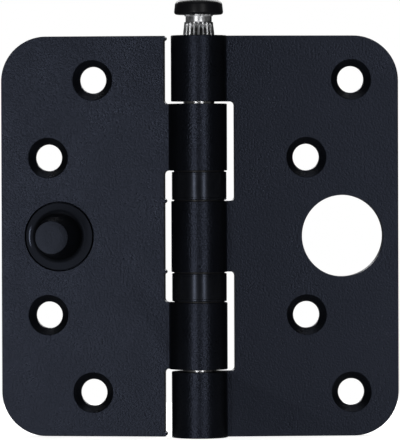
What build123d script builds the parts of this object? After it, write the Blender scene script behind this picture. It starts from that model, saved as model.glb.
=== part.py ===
from build123d import *
import os
from math import cos, pi, radians, sin, sqrt

# Round-corner butt hinge: two steel leaves with rolled knuckles, a knurled pin that lifts out,
# two small ball bearings between the knuckles and a security stud riveted to the left leaf.
# Millimetres. +Z runs up along the pin axis and the origin is on that axis at mid-height.
# The right leaf lies along +X and the countersunk faces look towards -Y.

# Leaves
leaf_height = 89.0
leaf_width = 44.5
leaf_thickness = 2.7
corner_radius = 10.0
edge_break = 0.2
closed_gap = 1.6
rest_opening = 191.0

# Screw holes: margins to the leaf's free edge and ends, the stagger between the two columns
# and the inner row's distance from mid-height
screw_hole_radius = 2.95
countersink_radius = 4.45
countersink_angle = 90.0
screw_edge_margin = 10.5
screw_end_margin = 9.75
column_stagger = 10.0
inner_row = 17.5

# Knuckles along the barrel, from its middle outwards
middle_knuckle = 15.7
bearing_height = 6.75
inner_knuckle = 14.8
knuckle_gap = 0.5
swage_radius = 1.5
seam_width = 0.15
curl_end_radius = 0.25
seam_lip_radius = 0.6

# Notches beside the other leaf's knuckles
notch_clearance = 1.75
notch_fillet = 0.9
nib_radius = 0.45
nib_inset = 0.15

# Pin
pin_radius = 3.43
pin_clearance = 0.07
pin_lift = 4.6
pin_end_recess = 2.0
pin_tip_chamfer = 0.8
head_radius = 5.5
head_height = 3.15
head_draft = 0.35
head_top_fillet = 1.1
head_under_fillet = 0.6
collar_radius = 3.15
collar_height = 0.35
neck_radius = 2.9
neck_length = 1.7
knurl_length = 9.0
knurl_taper_length = 2.4
knurl_run_out = 0.5
knurl_top_radius = 3.2
knurl_clearance = 0.02
ridge_count = 19

# Ball bearings
case_inset = 0.15
case_wall = 0.4
case_recess = 0.28
case_chamfer = 0.2
race_case_clearance = 0.05
race_pin_clearance = 0.12
ball_diameter = 1.5
ball_count = 6
ball_play = 0.02
pocket_play = 0.05
cage_thickness = 0.8
cage_side_play = 0.1

# Security stud and its hole, with the margins from their centres to the leaves' free edges
stud_edge_margin = 13.0
stud_hole_edge_margin = 12.5
stud_height = 11.8
stud_top_radius = 3.75
stud_base_radius = 5.1
stud_chamfer = 0.25
stud_flare_radius = 1.0
flange_radius = 7.5
flange_seat = 1.0
flange_rise = 0.3
flange_chamfer = 0.15
flange_clearance = 0.2
stem_radius = 3.0
stem_clearance = 0.02
rivet_radius = 4.2
rivet_depth = 1.1
stud_hole_clearance = 1.55

# Sizes that follow from the ones above
bore_radius = pin_radius + pin_clearance
knuckle_radius = bore_radius + leaf_thickness
face_offset = closed_gap / 2
back_offset = face_offset + leaf_thickness
middle_top = middle_knuckle / 2
bearing_top = middle_top + bearing_height
inner_top = bearing_top + inner_knuckle
end_bottom = inner_top + knuckle_gap
end_top = leaf_height / 2
right_spans = [(-end_top, -end_bottom), (-middle_top, middle_top), (end_bottom, end_top)]
left_spans = [(-inner_top, -bearing_top), (bearing_top, inner_top)]
back_fold = radians(rest_opening - 180)
far_column = leaf_width - screw_edge_margin
near_column = far_column - column_stagger
outer_row = end_top - screw_end_margin
stud_distance = leaf_width - stud_edge_margin
stud_hole_distance = leaf_width - stud_hole_edge_margin
notch_edge = knuckle_radius + notch_clearance

# Each leaf's own axes: x outwards along the leaf, y towards its back, z along the pin.
# The left leaf is the right one turned over, so its z axis points down.
right_frame = Plane(origin=(0, 0, 0), x_dir=(1, 0, 0), z_dir=(0, 0, 1))
left_frame = Plane(origin=(0, 0, 0), x_dir=(-cos(back_fold), sin(back_fold), 0), z_dir=(0, 0, -1))


def face_plane(frame, offset):
    """The plane of a leaf's countersunk face moved back by offset, its normal towards the viewer."""
    origin = frame.from_local_coords(Vector(0, offset, 0))
    return Plane(origin=origin, x_dir=frame.x_dir, z_dir=-frame.y_dir)


def nearest(points, x, y):
    """The vertex of a sketch that lies nearest to the point (x, y)."""
    return points.sort_by_distance(Vector(x, y, 0))[0]


def add_plate(frame, spans, nibs):
    """Adds the flat plate, with a tab at each knuckle and a notch between the tabs."""
    tab_root = bore_radius + (knuckle_radius - bore_radius) / 4
    half = leaf_height / 2
    with BuildSketch(face_plane(frame, face_offset)) as outline:
        with Locations(((notch_edge + leaf_width) / 2, 0)):
            Rectangle(leaf_width - notch_edge, leaf_height)
        fillet(outline.vertices().group_by(Axis.X)[-1], corner_radius)
        for low, high in spans:
            with Locations(((tab_root + notch_edge) / 2, (low + high) / 2)):
                Rectangle(notch_edge - tab_root, high - low)
        inner_corners = [
            nearest(outline.vertices(), notch_edge, end)
            for span in spans
            for end in span
            if abs(end) < half
        ]
        fillet(inner_corners, notch_fillet)
        for height in nibs:
            with Locations((notch_edge, height)):
                Circle(nib_radius)
    extrude(outline.sketch, amount=-leaf_thickness)


def add_knuckles(frame, spans):
    """Adds the rolled knuckles: the strip swages to the back, wraps the pin and ends at its own face."""
    strip_end = knuckle_radius
    swage_x = sqrt(knuckle_radius**2 - back_offset**2)
    lip_x = sqrt(bore_radius**2 - face_offset**2)
    strip_start = bore_radius + (knuckle_radius - bore_radius) / 4
    seam_y = face_offset - seam_width
    for low, high in spans:
        with BuildSketch(frame.offset(low)) as roll:
            Circle(knuckle_radius)
            Circle(bore_radius, mode=Mode.SUBTRACT)
            with Locations((knuckle_radius, face_offset - seam_width / 2)):
                Rectangle(2 * (knuckle_radius - bore_radius / 2), seam_width, mode=Mode.SUBTRACT)
            with Locations(((strip_start + strip_end) / 2, face_offset + leaf_thickness / 2)):
                Rectangle(strip_end - strip_start, leaf_thickness)
            fillet(nearest(roll.vertices(), swage_x, back_offset), swage_radius)
            fillet(nearest(roll.vertices(), lip_x, face_offset), seam_lip_radius)
            fillet(nearest(roll.vertices(), knuckle_radius, seam_y), curl_end_radius)
        extrude(roll.sketch, amount=high - low)


def break_rim(frame, part):
    """Breaks the outline's sharp edges on both faces of a leaf, all but those of its notches."""
    rim = [
        edge
        for edge in part.edges()
        if is_rim(frame.to_local_coords(edge.center()), edge)
    ]
    chamfer(rim, edge_break)


def is_rim(middle, edge):
    """Whether an edge lies on the plate's outline beyond the notches, on its front or its back."""
    on_face = min(abs(middle.Y - face_offset), abs(middle.Y - back_offset)) < 0.01
    half = leaf_height / 2
    at_end = abs(abs(middle.Z) - half) < 0.01 and middle.X > notch_edge
    at_side = abs(middle.X - leaf_width) < 0.01
    corner = edge.geom_type == GeomType.CIRCLE and abs(edge.radius - corner_radius) < 0.01
    return on_face and (at_end or at_side or corner)


def drill_screw_holes(frame, inner_x, outer_x):
    """Drills and countersinks the four staggered screw holes of a leaf."""
    places = [(inner_x, inner_row), (inner_x, -inner_row), (outer_x, outer_row), (outer_x, -outer_row)]
    with Locations(face_plane(frame, face_offset)):
        with Locations(*places):
            CounterSinkHole(
                screw_hole_radius,
                countersink_radius,
                depth=2 * leaf_thickness,
                counter_sink_angle=countersink_angle,
            )


# Right leaf, with knuckles at both ends and in the middle and the hole that takes the stud
stud_hole_radius = flange_radius + stud_hole_clearance

with BuildPart() as right_leaf:
    add_plate(right_frame, right_spans, nibs=[])
    add_knuckles(right_frame, right_spans)
    break_rim(right_frame, right_leaf)
    drill_screw_holes(right_frame, near_column, far_column)
    with Locations(face_plane(right_frame, face_offset)):
        with Locations((stud_hole_distance, 0)):
            Hole(stud_hole_radius, depth=2 * leaf_thickness)
right_leaf.part.label = "right_leaf"

# Left leaf, with two inner knuckles, a seat for the stud and small shear nibs on its notch edges
nib_end = end_top - nib_radius - nib_inset
nib_heights = [middle_top, -middle_top, nib_end, -nib_end]

with BuildPart() as left_leaf:
    add_plate(left_frame, left_spans, nib_heights)
    add_knuckles(left_frame, left_spans)
    break_rim(left_frame, left_leaf)
    drill_screw_holes(left_frame, far_column, near_column)
    with Locations(face_plane(left_frame, face_offset)):
        with Locations((stud_distance, 0)):
            CounterBoreHole(
                stem_radius + stem_clearance,
                flange_radius + flange_clearance,
                flange_seat,
                depth=2 * leaf_thickness,
            )
    rivet_seat = Plane(
        origin=left_frame.from_local_coords(Vector(stud_distance, back_offset, 0)),
        x_dir=left_frame.x_dir,
        z_dir=left_frame.y_dir,
    )
    with BuildSketch(rivet_seat) as rivet_mouth:
        Circle(rivet_radius)
    with BuildSketch(rivet_seat.offset(-rivet_depth)) as rivet_throat:
        Circle(stem_radius + stem_clearance)
    loft(mode=Mode.SUBTRACT)
left_leaf.part.label = "left_leaf"

# Security stud: flange in its seat, flared conical post in front, stem riveted flush at the back
stud_plane = Plane(
    origin=left_frame.from_local_coords(Vector(stud_distance, face_offset, 0)),
    x_dir=left_frame.z_dir,
    z_dir=left_frame.x_dir,
)

with BuildPart() as security_stud:
    with BuildSketch(stud_plane) as stud_section:
        with BuildLine():
            Polyline(
                (0, stud_height),
                (stud_top_radius, stud_height),
                (stud_base_radius, flange_rise),
                (flange_radius, flange_rise),
                (flange_radius, -flange_seat),
                (stem_radius, -flange_seat),
                (stem_radius, rivet_depth - leaf_thickness),
                (rivet_radius - stem_clearance, -leaf_thickness),
                (0, -leaf_thickness),
                close=True,
            )
        make_face()
        fillet(nearest(stud_section.vertices(), stud_base_radius, flange_rise), stud_flare_radius)
        chamfer(nearest(stud_section.vertices(), stud_top_radius, stud_height), stud_chamfer)
        chamfer(nearest(stud_section.vertices(), flange_radius, flange_rise), flange_chamfer)
    revolve(axis=Axis(stud_plane.origin, -left_frame.y_dir))
security_stud.part.label = "security_stud"

# Hinge pin: button head, collar, neck, tapered knurl and a plain shank with a chamfered tip.
# It stands pin_lift above its seat on the top knuckle.
head_under = end_top + pin_lift
head_top = head_under + head_height
knurl_top = head_under - neck_length
knurl_bottom = knurl_top - knurl_length
pin_tip = pin_end_recess - end_top + pin_lift
crest_radius = bore_radius - knurl_clearance


def ridge_outline():
    """Corners of the knurl's section: a crest and a groove for each ridge."""
    corners = []
    for step in range(2 * ridge_count):
        radius = neck_radius if step % 2 else crest_radius
        angle = pi * step / ridge_count
        corners.append((radius * cos(angle), radius * sin(angle)))
    return corners


with BuildPart() as hinge_pin:
    with BuildSketch(Plane.XY.offset(knurl_bottom)):
        with BuildLine():
            Polyline(*ridge_outline(), close=True)
        make_face()
    extrude(amount=knurl_length)
    with BuildSketch(Plane.XZ):
        with BuildLine():
            Polyline(
                (0, knurl_bottom),
                (pin_radius, knurl_bottom),
                (crest_radius, knurl_bottom + knurl_run_out),
                (crest_radius, knurl_top - knurl_taper_length),
                (knurl_top_radius, knurl_top),
                (0, knurl_top),
                close=True,
            )
        make_face()
    revolve(axis=Axis.Z, mode=Mode.INTERSECT)
    with BuildSketch(Plane.XZ) as pin_section:
        with BuildLine():
            Polyline(
                (0, pin_tip),
                (pin_radius - pin_tip_chamfer, pin_tip),
                (pin_radius, pin_tip + pin_tip_chamfer),
                (pin_radius, knurl_bottom),
                (neck_radius, knurl_bottom),
                (neck_radius, head_under - collar_height),
                (collar_radius, head_under - collar_height),
                (collar_radius, head_under),
                (head_radius, head_under),
                (head_radius - head_draft, head_top),
                (0, head_top),
                close=True,
            )
        make_face()
        fillet(nearest(pin_section.vertices(), head_radius - head_draft, head_top), head_top_fillet)
        fillet(nearest(pin_section.vertices(), head_radius, head_under), head_under_fillet)
    revolve(axis=Axis.Z)
hinge_pin.part.label = "hinge_pin"

# Ball bearings: a pressed sleeve that holds two hardened rings, a cage and its balls.
# Heights in a bearing are measured from the knuckle face that it stands on.
case_radius = knuckle_radius - case_inset
case_bore = case_radius - case_wall
case_height = bearing_height - 2 * case_recess
race_bore = pin_radius + race_pin_clearance
race_radius = case_bore - race_case_clearance
race_thickness = (bearing_height - ball_diameter) / 2 - ball_play
ball_radius = ball_diameter / 2
pitch_radius = (race_bore + race_radius) / 2


def add_ring(base, height, outer, inner):
    """Adds a plain ring round the pin axis that stands at the height base."""
    with BuildSketch(Plane.XY.offset(base)) as ring:
        Circle(outer)
        Circle(inner, mode=Mode.SUBTRACT)
    extrude(ring.sketch, amount=height)


bearing_parts = []
for place, seat in (("upper", middle_top), ("lower", -bearing_top)):
    middle = seat + bearing_height / 2

    with BuildPart() as bearing_case:
        add_ring(seat + case_recess, case_height, case_radius, case_bore)
        rims = bearing_case.edges().filter_by(GeomType.CIRCLE)
        chamfer([rim for rim in rims if rim.radius > (case_radius + case_bore) / 2], case_chamfer)
    bearing_case.part.label = place + "_bearing_case"

    with BuildPart() as bottom_race:
        add_ring(seat, race_thickness, race_radius, race_bore)
    bottom_race.part.label = place + "_bearing_bottom_race"

    with BuildPart() as top_race:
        add_ring(seat + bearing_height - race_thickness, race_thickness, race_radius, race_bore)
    top_race.part.label = place + "_bearing_top_race"

    with BuildPart() as cage:
        with BuildSketch(Plane.XY.offset(middle - cage_thickness / 2)):
            Circle(race_radius - cage_side_play)
            Circle(race_bore + cage_side_play, mode=Mode.SUBTRACT)
            with PolarLocations(pitch_radius, ball_count):
                Circle(ball_radius + pocket_play, mode=Mode.SUBTRACT)
        extrude(amount=cage_thickness)
    cage.part.label = place + "_bearing_cage"
    bearing_parts += [bearing_case.part, bottom_race.part, top_race.part, cage.part]

    for number in range(ball_count):
        angle = 2 * pi * number / ball_count
        centre = (pitch_radius * cos(angle), pitch_radius * sin(angle), middle)
        with BuildPart(Plane(origin=centre)) as ball:
            Sphere(ball_radius)
        ball.part.label = f"{place}_bearing_ball_{number + 1}"
        bearing_parts.append(ball.part)

os.makedirs("parts", exist_ok=True)
for piece in [right_leaf.part, left_leaf.part, security_stud.part, hinge_pin.part, *bearing_parts]:
    export_step(piece, f"parts/{piece.label}.step")
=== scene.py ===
"""Round-corner butt hinge: smooth meshes, finishes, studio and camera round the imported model."""

import logging
import math
from collections.abc import Callable
from dataclasses import dataclass, field
from enum import Enum

import bmesh
import bpy
from mathutils import Matrix, Vector


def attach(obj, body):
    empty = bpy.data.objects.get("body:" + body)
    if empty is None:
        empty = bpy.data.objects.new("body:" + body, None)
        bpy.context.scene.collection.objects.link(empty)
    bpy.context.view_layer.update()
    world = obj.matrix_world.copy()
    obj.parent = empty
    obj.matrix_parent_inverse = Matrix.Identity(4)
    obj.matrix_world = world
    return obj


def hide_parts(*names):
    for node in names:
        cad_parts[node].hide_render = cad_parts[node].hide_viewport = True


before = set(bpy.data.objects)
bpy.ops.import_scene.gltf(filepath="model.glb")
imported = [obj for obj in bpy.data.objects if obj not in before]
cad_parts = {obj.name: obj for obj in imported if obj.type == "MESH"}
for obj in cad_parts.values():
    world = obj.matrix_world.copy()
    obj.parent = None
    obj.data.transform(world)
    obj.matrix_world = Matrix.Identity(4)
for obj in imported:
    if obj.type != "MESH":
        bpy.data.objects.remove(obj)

LOG = logging.getLogger("hinge")
MILLIMETRE = 0.001
# angles between two faces: shaded smooth, rounded as an edge, dissolved as flat
SMOOTH_BELOW = math.radians(24)
SHARP_ABOVE = math.radians(35)
FLAT_BELOW = math.radians(0.2)
# lengths in millimetres: points merged, a radius that is a pole, points that are the same
MERGE_BELOW = 1e-4
POLE_BELOW = 1e-9
SAME_BELOW = 1e-6
# how far a cutter reaches past the front and the back of what it cuts, in millimetres
OVERCUT = 2.0
UNDERCUT = 1.0
STUD_FACETS = 128

Point = tuple[float, float]


class Body(Enum):
    """The CAD bodies that pieces ride on."""

    FIXED = "fixed_leaf"
    SWINGING = "swinging_leaf"
    PIN = "pin"


class SpinAxis(Enum):
    """The direction that a turned shape's heights run in, in its own axes."""

    ALONG_Z = "z"
    ALONG_Y = "y"


# ---- outlines and meshes, all in millimetres until they are placed


def arc(centre: Point, radius: float, start: float, end: float, steps: int) -> list[Point]:
    """Points on an arc, both ends included.

    Args:
        centre: Centre of the arc.
        radius: Radius of the arc.
        start: Angle of the first point, in degrees.
        end: Angle of the last point, in degrees.
        steps: Number of runs between the points.

    Returns:
        The points in order.
    """
    angles = [math.radians(start + (end - start) * i / steps) for i in range(steps + 1)]
    return [(centre[0] + radius * math.cos(a), centre[1] + radius * math.sin(a)) for a in angles]


def bearing_of(point: Point) -> float:
    """The angle of a point seen from the origin, in degrees."""
    return math.degrees(math.atan2(point[1], point[0]))


def scene_object(name: str, mesh: bpy.types.Mesh) -> bpy.types.Object:
    """Links a new object with that mesh to the scene.

    Args:
        name: Name of the object.
        mesh: Its mesh.

    Returns:
        The new object.
    """
    made = bpy.data.objects.new(name, mesh)
    bpy.context.scene.collection.objects.link(made)
    return made


def mesh_from(name: str, shape: bmesh.types.BMesh) -> bpy.types.Object:
    """Turns a bmesh into a scene object and frees it.

    Args:
        name: Name of the object and its mesh.
        shape: The bmesh, which is freed.

    Returns:
        The new object.
    """
    bmesh.ops.recalc_face_normals(shape, faces=shape.faces)
    mesh = bpy.data.meshes.new(name)
    shape.to_mesh(mesh)
    shape.free()
    return scene_object(name, mesh)


def prism(
    name: str, outline: list[Point], low: float, high: float, upright: bool
) -> bpy.types.Object:
    """A closed prism on a flat outline.

    Args:
        name: Name of the object.
        outline: Corners of the outline.
        low: Where the prism starts.
        high: Where it ends.
        upright: True for an (x, y) outline that runs along z, False for an (x, z) one along y.

    Returns:
        The prism.
    """
    shape = bmesh.new()
    rings = []
    for level in (low, high):
        corners = [(a, b, level) if upright else (a, level, b) for a, b in outline]
        rings.append([shape.verts.new(corner) for corner in corners])
    count = len(outline)
    for i in range(count):
        j = (i + 1) % count
        shape.faces.new((rings[0][i], rings[0][j], rings[1][j], rings[1][i]))
    for ring in rings:
        shape.faces.new(ring)
    return mesh_from(name, shape)


def turned(
    name: str, profile: list[Point], segments: int, axis: SpinAxis, closed: bool = False
) -> bpy.types.Object:
    """A shape turned from a profile, with its poles or its last run closed.

    Args:
        name: Name of the object.
        profile: (radius, height) points, from one pole to the other or round a ring's section.
        segments: Number of facets round the axis.
        axis: Where the heights run.
        closed: True for a ring's section, which joins its last point to its first.

    Returns:
        The turned object.
    """
    shape = bmesh.new()
    rows = []
    for radius, height in profile:
        count = segments if radius > POLE_BELOW else 1
        row = []
        for i in range(count):
            angle = 2 * math.pi * i / segments
            u, v = radius * math.cos(angle), radius * math.sin(angle)
            corner = (u, v, height) if axis is SpinAxis.ALONG_Z else (u, height, v)
            row.append(shape.verts.new(corner))
        rows.append(row)
    pairs = list(zip(rows, rows[1:]))
    if closed:
        pairs.append((rows[-1], rows[0]))
    for lower, upper in pairs:
        for i in range(segments):
            j = (i + 1) % segments
            if len(lower) == 1:
                shape.faces.new((lower[0], upper[i], upper[j]))
            elif len(upper) == 1:
                shape.faces.new((lower[i], lower[j], upper[0]))
            else:
                shape.faces.new((lower[i], lower[j], upper[j], upper[i]))
    return mesh_from(name, shape)


def evaluated(source: bpy.types.Object) -> bpy.types.Mesh:
    """A plain mesh of an object with its modifiers, made without changing the object."""
    graph = bpy.context.evaluated_depsgraph_get()
    return bpy.data.meshes.new_from_object(source.evaluated_get(graph), depsgraph=graph)


def bake_modifiers(target: bpy.types.Object) -> None:
    """Replaces an object's mesh by the one its modifiers give and removes the modifiers.

    Args:
        target: The object, changed in place.
    """
    mesh = evaluated(target)
    target.modifiers.clear()
    old = target.data
    target.data = mesh
    bpy.data.meshes.remove(old)


def discard(*objects: bpy.types.Object) -> None:
    """Removes helper objects and their meshes.

    Args:
        objects: The helpers, which nothing uses any more.
    """
    for helper in objects:
        mesh = helper.data
        bpy.data.objects.remove(helper)
        bpy.data.meshes.remove(mesh)


def round_edges(
    target: bpy.types.Object, radius: float, keep_sharp: Callable[[Vector], bool]
) -> None:
    """Merges what a cut left behind and rounds every sharp edge a little.

    Args:
        target: The object, changed in place.
        radius: Width of the rounding.
        keep_sharp: Function of an edge's middle that is true where the edge stays as it is.
    """
    shape = bmesh.new()
    shape.from_mesh(target.data)
    bmesh.ops.remove_doubles(shape, verts=shape.verts, dist=MERGE_BELOW)
    bmesh.ops.dissolve_limit(shape, angle_limit=FLAT_BELOW, verts=shape.verts, edges=shape.edges)
    bmesh.ops.recalc_face_normals(shape, faces=shape.faces)
    sharp = [
        edge
        for edge in shape.edges
        if len(edge.link_faces) == 2
        and edge.calc_face_angle(0) > SHARP_ABOVE
        and not keep_sharp((edge.verts[0].co + edge.verts[1].co) / 2)
    ]
    bmesh.ops.bevel(
        shape,
        geom=sharp,
        offset=radius,
        offset_type="OFFSET",
        segments=2,
        profile=0.5,
        affect="EDGES",
        clamp_overlap=False,
    )
    shape.to_mesh(target.data)
    shape.free()


def place(target: bpy.types.Object, axes: Matrix) -> None:
    """Puts a finished shape in the row frame, in metres, and smooths its shading.

    Args:
        target: The object, whose own axes are in millimetres.
        axes: The matrix from the shape's own axes to the row's, without scale.
    """
    target.data.transform(Matrix.Scale(MILLIMETRE, 4) @ axes)
    for polygon in target.data.polygons:
        polygon.use_smooth = True
    target.data.set_sharp_from_angle(angle=SMOOTH_BELOW)
    weighted = target.modifiers.new("weighted", "WEIGHTED_NORMAL")
    weighted.keep_sharp = True
    weighted.weight = 100
    bake_modifiers(target)


# ---- node trees


@dataclass
class Tree:
    """A node tree under construction, with its named inputs."""

    tree: bpy.types.NodeTree

    def add(self, kind: str, values: dict | None = None, **settings: object) -> bpy.types.Node:
        """Adds a node.

        Args:
            kind: Type name of the node.
            values: Input values by the input's name or number.
            settings: Properties of the node itself.

        Returns:
            The node.
        """
        node = self.tree.nodes.new(kind)
        for key, value in settings.items():
            setattr(node, key, value)
        for key, value in (values or {}).items():
            if isinstance(value, bpy.types.NodeSocket):
                self.tree.links.new(value, node.inputs[key])
            else:
                node.inputs[key].default_value = value
        return node

    def math(self, operation: str, *terms: float | bpy.types.NodeSocket) -> bpy.types.NodeSocket:
        """Adds a Math node.

        Args:
            operation: What it works out.
            terms: The numbers or sockets that it takes.

        Returns:
            The result's socket.
        """
        node = self.add("ShaderNodeMath", operation=operation)
        for i, term in enumerate(terms):
            if isinstance(term, bpy.types.NodeSocket):
                self.tree.links.new(term, node.inputs[i])
            else:
                node.inputs[i].default_value = term
        return node.outputs[0]

    def link(self, source: bpy.types.NodeSocket, target: bpy.types.NodeSocket) -> None:
        """Links two sockets."""
        self.tree.links.new(source, target)


class GeometryTree(Tree):
    """A Geometry Nodes tree whose inputs are set by their identifiers."""

    KINDS: dict[str, str] = {
        "float": "NodeSocketFloat",
        "int": "NodeSocketInt",
        "object": "NodeSocketObject",
        "material": "NodeSocketMaterial",
    }

    def __init__(self, name: str, inputs: dict[str, str]) -> None:
        """Makes an empty tree.

        Args:
            name: Name of the tree.
            inputs: Kind of each named input, after the geometry.
        """
        super().__init__(bpy.data.node_groups.new(name, "GeometryNodeTree"))
        interface = self.tree.interface
        interface.new_socket("Geometry", in_out="INPUT", socket_type="NodeSocketGeometry")
        self.identifiers: dict[str, str] = {}
        for label, kind in inputs.items():
            entry = interface.new_socket(label, in_out="INPUT", socket_type=self.KINDS[kind])
            self.identifiers[label] = entry.identifier
        interface.new_socket("Geometry", in_out="OUTPUT", socket_type="NodeSocketGeometry")
        self.source = self.add("NodeGroupInput")
        self.result = self.add("NodeGroupOutput")

    def given(self, label: str) -> bpy.types.NodeSocket:
        """The socket of a named input."""
        return self.source.outputs[label]

    def end(self, geometry: bpy.types.NodeSocket) -> None:
        """Ends the tree in Realize Instances and Set Material.

        Args:
            geometry: What the tree has made.
        """
        real = self.add("GeometryNodeRealizeInstances", {"Geometry": geometry})
        dressed = self.add(
            "GeometryNodeSetMaterial",
            {"Geometry": real.outputs[0], "Material": self.given("Material")},
        )
        self.link(dressed.outputs[0], self.result.inputs[0])

    def apply(self, target: bpy.types.Object, **values: object) -> None:
        """Runs the tree on an object and keeps the result as its plain mesh.

        Args:
            target: The object.
            values: Input values by name, with _ for a space.
        """
        modifier = target.modifiers.new(self.tree.name, "NODES")
        modifier.node_group = self.tree
        for label, value in values.items():
            modifier[self.identifiers[label.replace("_", " ").capitalize()]] = value
        bake_modifiers(target)


def hole_tree() -> GeometryTree:
    """The tree that cuts a sheet to its blank and sinks its four staggered screw holes.

    Returns:
        The tree, with the blank, the cutter and the holes' columns and rows as inputs.
    """
    numbers = ["Inner column", "Outer column", "Inner row", "Outer row"]
    inputs = {"Blank": "object", "Cutter": "object", "Material": "material"}
    tree = GeometryTree("staggered_screw_holes", inputs | {label: "float" for label in numbers})
    joined = tree.add("GeometryNodeJoinGeometry")
    for column, row in (("Inner column", "Inner row"), ("Outer column", "Outer row")):
        ends = []
        for sign in (-1.0, 1.0):
            height = tree.math("MULTIPLY", tree.given(row), sign)
            ends.append(tree.add("ShaderNodeCombineXYZ", {"X": tree.given(column), "Z": height}))
        line = tree.add("GeometryNodeMeshLine", {0: 2}, mode="END_POINTS")
        tree.link(ends[0].outputs[0], line.inputs[2])
        tree.link(ends[1].outputs[0], line.inputs[3])
        tree.link(line.outputs[0], joined.inputs[0])
    cutter = tree.add("GeometryNodeObjectInfo", {"Object": tree.given("Cutter")})
    cutters = tree.add(
        "GeometryNodeInstanceOnPoints",
        {"Points": joined.outputs[0], "Instance": cutter.outputs["Geometry"]},
    )
    real = tree.add("GeometryNodeRealizeInstances", {"Geometry": cutters.outputs[0]})
    blank = tree.add("GeometryNodeObjectInfo", {"Object": tree.given("Blank")})
    rolled = tree.add("GeometryNodeMeshBoolean", operation="INTERSECT", solver="EXACT")
    tree.link(tree.given("Geometry"), rolled.inputs["Mesh 2"])
    tree.link(blank.outputs["Geometry"], rolled.inputs["Mesh 2"])
    drilled = tree.add("GeometryNodeMeshBoolean", operation="DIFFERENCE", solver="EXACT")
    tree.link(rolled.outputs[0], drilled.inputs["Mesh 1"])
    tree.link(real.outputs[0], drilled.inputs["Mesh 2"])
    tree.end(drilled.outputs[0])
    return tree


def knurl_tree() -> GeometryTree:
    """The tree that presses the knurl's grooves into a smooth pin.

    Returns:
        The tree, with the grooves' count, depth, reach and wear as inputs.
    """
    flank_power = 0.8
    wear_around, wear_along, wear_scale, wear_detail = 2.2, 0.7, 2.4, 2.0
    near_axis = 0.01
    inputs = {
        "Ridges": "int",
        "Depth": "float",
        "Bottom": "float",
        "Top": "float",
        "Run out": "float",
        "Wear": "float",
        "Seed": "float",
        "Material": "material",
    }
    tree = GeometryTree("knurl_grooves", inputs)
    position = tree.add("GeometryNodeInputPosition")
    parts = tree.add("ShaderNodeSeparateXYZ", {0: position.outputs[0]})
    x, y, z = parts.outputs[0], parts.outputs[1], parts.outputs[2]
    angle = tree.math("ARCTAN2", y, x)
    wave = tree.math("COSINE", tree.math("MULTIPLY", angle, tree.given("Ridges")))
    valley = tree.math("SUBTRACT", 0.5, tree.math("MULTIPLY", wave, 0.5))
    sharp = tree.math("POWER", valley, flank_power)
    above = tree.math("SUBTRACT", z, tree.given("Bottom"))
    rising = tree.math("DIVIDE", above, tree.given("Run out"))
    below = tree.math("SUBTRACT", tree.given("Top"), z)
    fading = tree.math("DIVIDE", below, tree.given("Run out"))
    reach = tree.math("MINIMUM", rising, fading)
    inside = tree.math("MAXIMUM", 0.0, tree.math("MINIMUM", 1.0, reach))
    around = tree.math("MULTIPLY", angle, wear_around)
    seeded = tree.add("ShaderNodeCombineXYZ", {"X": around, "Y": tree.given("Seed")})
    tree.link(tree.math("MULTIPLY", z, wear_along), seeded.inputs["Z"])
    values = {"Vector": seeded.outputs[0], "Scale": wear_scale, "Detail": wear_detail}
    noise = tree.add("ShaderNodeTexNoise", values)
    worn = tree.math("MULTIPLY", noise.outputs[0], tree.given("Wear"))
    depth = tree.math("ADD", tree.math("MULTIPLY", sharp, tree.given("Depth")), worn)
    press = tree.math("MULTIPLY", depth, inside)
    squares = [tree.math("MULTIPLY", part, part) for part in (x, y)]
    length = tree.math("SQRT", tree.math("ADD", *squares))
    share = tree.math("DIVIDE", press, tree.math("MAXIMUM", length, near_axis))
    offset = tree.add("ShaderNodeCombineXYZ")
    tree.link(tree.math("MULTIPLY", tree.math("MULTIPLY", x, share), -1.0), offset.inputs[0])
    tree.link(tree.math("MULTIPLY", tree.math("MULTIPLY", y, share), -1.0), offset.inputs[1])
    moved = tree.add(
        "GeometryNodeSetPosition",
        {"Geometry": tree.given("Geometry"), "Offset": offset.outputs[0]},
    )
    tree.end(moved.outputs[0])
    return tree


# ---- finishes


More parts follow.
